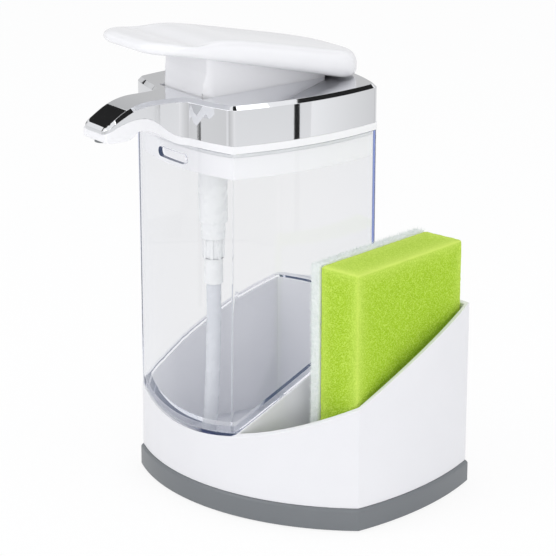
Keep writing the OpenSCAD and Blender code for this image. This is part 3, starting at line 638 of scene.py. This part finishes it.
def bowed(start, end, bow, steps):  # points of an arc that bows out to the right, without the last
    start, end = Vector(start), Vector(end)
    chord = end - start
    radius = (chord.length_squared / 4 + bow * bow) / (2 * bow)
    centre = (start + end) / 2 - Vector((chord.y, -chord.x)).normalized() * (radius - bow)
    sweep = 2 * math.asin(chord.length / 2 / radius)
    return [centre + Matrix.Rotation(sweep * i / steps, 2) @ (start - centre) for i in range(steps)]


def curved(points, steps):  # a smooth curve with four control points
    a, b, c, d = (Vector(q) for q in points)
    return [a * (1 - t) ** 3 + b * 3 * t * (1 - t) ** 2 + c * 3 * t * t * (1 - t) + d * t ** 3
            for t in (i / steps for i in range(steps + 1))]


def heightOn(line, y):  # lines run from the cover to the spout's tip, towards lower y
    for first, second in zip(line, line[1:]):
        if first.x >= y >= second.x and first.x > second.x:
            return second.y + (first.y - second.y) * (y - second.x) / (first.x - second.x)
    return line[0].y if y > line[0].x else line[-1].y


def coverOutline():
    wide, deep, bow = cover["halfWidth"], cover["depth"], cover["frontBow"]
    frontR = (wide * wide + bow * bow) / (2 * bow)
    root, half, neck, tip = cover["root"], cover["half"], cover["neck"], cover["tip"]
    rootY = frontR - bow - math.sqrt(frontR ** 2 - root ** 2)
    spout = curved(((root, rootY), (half + cover["rootEase"], -bow), (half, (neck - 2 * bow) / 3),
                    (half, neck)), cover["rootSteps"])
    turn = cover["tipRound"]
    spout += curved(((half, tip + turn), (half, tip + turn / 2), (half - turn / 2, tip),
                     (half - turn, tip)), cover["tipSteps"])
    steps = cover["frontSteps"]
    front = [Vector((wide - (wide - root) * i / steps, 0.0)) for i in range(1, steps)]
    for q in front:
        q.y = frontR - bow - math.sqrt(frontR ** 2 - q.x ** 2)
    right = front + spout  # from the front right corner to the tip
    left = [Vector((-q.x, q.y)) for q in right]
    corners = ((wide, 0), (wide, deep), (-wide, deep), (-wide, 0))
    bows = (cover["sideBow"], bow, cover["sideBow"])
    rim = [q for i in range(3) for q in bowed(corners[i], corners[i + 1], bows[i], cover["steps"])]
    return rim + [Vector(corners[3])] + left + right[::-1], rootY


def cutAcross(bm, faces, at, normal):  # new edges where a plane crosses the faces
    geom = set(faces)
    for face in faces:
        geom.update(face.edges)
        geom.update(face.verts)
    bmesh.ops.bisect_plane(bm, geom=list(geom), plane_co=at, plane_no=normal, dist=exact)


def levelTop(part, tall):  # whether an edge or a face lies in the cover's flat top
    return min(v.co.z for v in part.verts) > tall - near


def makeCover():
    outline, rootY = coverOutline()
    tall, bend, ease, tip = cover["top"] - cover["low"], cover["bend"], cover["ease"], cover["tip"]
    bm = bmesh.new()
    sheet = bm.faces.new([bm.verts.new((q.x, q.y, 0.0)) for q in outline])
    raised = bmesh.ops.extrude_face_region(bm, geom=[sheet])["geom"]
    bmesh.ops.translate(bm, vec=(0.0, 0.0, tall),
                        verts=[g for g in raised if isinstance(g, bmesh.types.BMVert)])
    bmesh.ops.delete(bm, geom=[f for f in bm.faces if f.calc_center_median().z < near],
                     context="FACES_ONLY")
    posts = [e for e in bm.edges if abs(e.verts[0].co.z - e.verts[1].co.z) > tall / 2
             and abs(abs(e.verts[0].co.x) - cover["halfWidth"]) < near
             and min(abs(e.verts[0].co.y), abs(e.verts[0].co.y - cover["depth"])) < near]
    bmesh.ops.bevel(bm, geom=posts, offset=cover["corner"], segments=cover["cornerSteps"], profile=0.5,
                    affect="EDGES", material=-1)
    brim = [e for e in bm.edges if levelTop(e, tall)]
    bmesh.ops.bevel(bm, geom=brim, offset=cover["bevel"], segments=1, profile=0.5, affect="EDGES",
                    material=-1)
    count = int((rootY - tip) / cover["slice"])
    for i in range(1, count):
        cutAcross(bm, bm.faces[:], (0.0, rootY + (tip - rootY) * i / count, 0.0), (0.0, 1.0, 0.0))
    hole = cover["hole"]
    slant = (hole["frontHalf"] - hole["rearHalf"]) / (hole["rear"] - hole["front"])
    for at, normal in (((0, hole["front"], 0), (0, 1, 0)), ((0, hole["rear"], 0), (0, 1, 0)),
                       ((hole["frontHalf"], hole["front"], 0), (1, slant, 0)),
                       ((-hole["frontHalf"], hole["front"], 0), (-1, slant, 0))):
        flat = [f for f in bm.faces if levelTop(f, tall) and f.calc_center_median().y > rootY]
        cutAcross(bm, flat, at, normal)
    inside = [f for f in bm.faces if levelTop(f, tall)
              and all(hole["front"] - near < v.co.y < hole["rear"] + near and
                      abs(v.co.x) < hole["frontHalf"] - slant * (v.co.y - hole["front"]) + near
                      for v in f.verts)]
    bmesh.ops.delete(bm, geom=inside, context="FACES")
    bmesh.ops.remove_doubles(bm, verts=bm.verts, dist=cover["least"])
    steps, glide, rise = cover["lineSteps"], cover["glide"], cover["rise"]
    topLine = [Vector((0, tall))] + curved(((bend + ease, tall), (bend - ease, tall),
                                            (tip + ease, tall - cover["drop"] + ease / 2),
                                            (tip, tall - cover["drop"])), steps)
    edge = tall - cover["drop"] - cover["lip"]
    edgeLine = [Vector((0, 0))] + curved(((rootY, 0), (rootY - glide, 0),
                                          (bend + glide, rise), (bend, rise)), steps)
    edgeLine += curved(((bend, rise), (bend - ease, rise), (tip + ease, edge + ease / 2),
                        (tip, edge)), steps)
    for v in bm.verts:
        above, below = heightOn(topLine, v.co.y), heightOn(edgeLine, v.co.y)
        share = min(1.0, (above - below) / (cover["thinBevels"] * cover["bevel"]))
        v.co.z = below if v.co.z < near else above - (tall - v.co.z) * share
    bmesh.ops.translate(bm, verts=bm.verts, vec=(tankMiddle, tankFront, cover["low"]))
    bmesh.ops.scale(bm, verts=bm.verts, vec=(mm, mm, mm))
    bmesh.ops.recalc_face_normals(bm, faces=bm.faces)
    for face in bm.faces:
        face.smooth = True
    piece = meshObject("chromeCover", bm)
    wall = piece.modifiers.new("wall", "SOLIDIFY")
    wall.thickness, wall.offset, wall.use_even_offset = cover["wall"] * mm, -1.0, True
    softEdges(piece, cover["soft"], clamp=True)
    piece.data.materials.append(finishes["chrome"])
    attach(piece, "lid")
    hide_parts("chrome_cover")


makeCover()
print("chrome cover made")


# sponge

# glow is how far in millimetres the painted light along a block's edges reaches; paintedTopLight is painted
# light added on its top face
foam = {"cell": 1.1, "corner": 1.7, "inset": 0.12, "rough": 0.16, "pores": 0.9, "crown": 0.35, "glow": 3.2,
        "paintedTopLight": 0.45}
fleece = {"cell": 0.9, "corner": 0.9, "inset": 0.15, "rough": 0.32, "pores": 1.2, "crown": 0.2, "glow": 1.0,
          "paintedTopLight": 0.0}
softness = {"power": 4, "bulgeShare": 0.3, "underside": -0.7}
fibres = {"seed": 7, "count": 7000, "length": (0.7, 2.2), "thick": 0.13, "lean": 1.0, "rooted": 0.2,
          "edgeShare": 0.02, "flatShare": 0.8, "sides": 3}


def blockFrame(node):  # a block node's corner, and its sides along the pocket, across it and up
    low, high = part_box(node)
    foot = [v.co for v in cad[node].data.vertices if v.co.z < low.z + 0.1 * mm]
    front = min(foot, key=lambda c: c.y)
    others = sorted({tuple(round(x, 6) for x in c) for c in foot if (c - front).length > mm},
                    key=lambda c: (Vector(c) - front).length)
    across, along = (Vector(c) - front for c in others[:2])
    up = Vector((0.0, 0.0, high.z - low.z))
    return front, along, across, up


def gridBlock(size, cell):  # a box of square cells, centred, in millimetres
    bm = bmesh.new()
    bmesh.ops.create_cube(bm, size=1.0)
    bmesh.ops.scale(bm, verts=bm.verts, vec=size)
    for axis in range(3):
        lines = [e for e in bm.edges if abs(e.verts[0].co[axis] - e.verts[1].co[axis]) > 0.9 * size[axis]]
        bmesh.ops.subdivide_edges(bm, edges=lines, cuts=max(2, round(size[axis] / cell)) - 1)
    return bm


def softBlock(node, name, values, finish):
    corner, along, across, up = blockFrame(node)
    size = Vector((along.length, across.length, up.length)) / mm
    bm = gridBlock(size, values["cell"])
    half = size / 2 - Vector((values["inset"],) * 3)
    # the edgeGlow attribute holds painted light for the foam's colour: more near the edges, and more on the
    # top face
    glow = bm.verts.layers.float.new("edgeGlow")
    for v in bm.verts:
        p = Vector([c * h / (s / 2) for c, h, s in zip(v.co, half, size)])
        core = Vector([max(-h + values["corner"], min(h - values["corner"], c)) for c, h in zip(p, half)])
        out = p - core
        gaps = sorted(h - abs(c) for c, h in zip(p, half))
        v[glow] = math.exp(-gaps[1] / values["glow"]) + (values["paintedTopLight"] if p.z > half.z - near else 0.0)
        if out.length > 0:
            direction = out.normalized()
            swell = 1 - max(abs(c / h) for c, h in zip(core, half)) ** softness["power"]
            ripple = noise.fractal(p * values["pores"], 1.0, 2.0, 3) * values["rough"]
            bulge = values["crown"] * smooth(swell) * (0.0 if direction.z < softness["underside"] else 1.0)
            rough = ripple if direction.z > softness["underside"] else 0.0
            p = core + direction * (values["corner"] + bulge * softness["bulgeShare"] + rough)
        v.co = p
    turn = Matrix((along.normalized(), across.normalized(), up.normalized())).transposed().to_4x4()
    centre = corner + (along + across + up) / 2
    bmesh.ops.transform(bm, matrix=Matrix.Translation(centre) @ turn @ Matrix.Scale(mm, 4), verts=bm.verts)
    bmesh.ops.recalc_face_normals(bm, faces=bm.faces)
    for face in bm.faces:
        face.smooth = True
    piece = meshObject(name, bm)
    piece.data.materials.append(finishes[finish])
    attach(piece, "sponge")
    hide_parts(node)
    return piece


def makeFibres(base):  # short loose fibres along the fleece's edges
    draw = random.Random(fibres["seed"])
    corner, along, across, up = blockFrame("sponge_scrub")
    spots = [v for v in base.data.vertices
             if min((v.co - corner).dot(along) / along.length_squared,
                    1 - (v.co - corner).dot(along) / along.length_squared,
                    1 - (v.co - corner).dot(up) / up.length_squared) < fibres["edgeShare"]]
    bm = bmesh.new()
    for _ in range(fibres["count"]):
        spot = draw.choice(spots)
        lean = Vector([draw.uniform(-1, 1) for _ in range(3)]) * fibres["lean"]
        lean -= across.normalized() * lean.dot(across.normalized()) * fibres["flatShare"]
        way = (spot.normal + lean).normalized()
        foot = spot.co - way * fibres["rooted"] * mm
        tip = bm.verts.new(foot + way * draw.uniform(*fibres["length"]) * mm)
        side = way.orthogonal().normalized() * fibres["thick"] * mm / 2
        ring = [bm.verts.new(foot + Matrix.Rotation(i * math.tau / fibres["sides"], 3, way) @ side)
                for i in range(fibres["sides"])]
        bm.faces.new(ring[::-1])
        for i in range(fibres["sides"]):
            bm.faces.new((ring[i - 1], ring[i], tip))
    piece = meshObject("fleeceFibres", bm)
    piece.data.materials.append(finishes["fleece"])
    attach(piece, "sponge")


softBlock("sponge_foam", "spongeFoam", foam, "foam")
makeFibres(softBlock("sponge_scrub", "spongeFleece", fleece, "fleece"))
print("sponge made")

bpy.context.scene.view_settings.view_transform = "Standard"
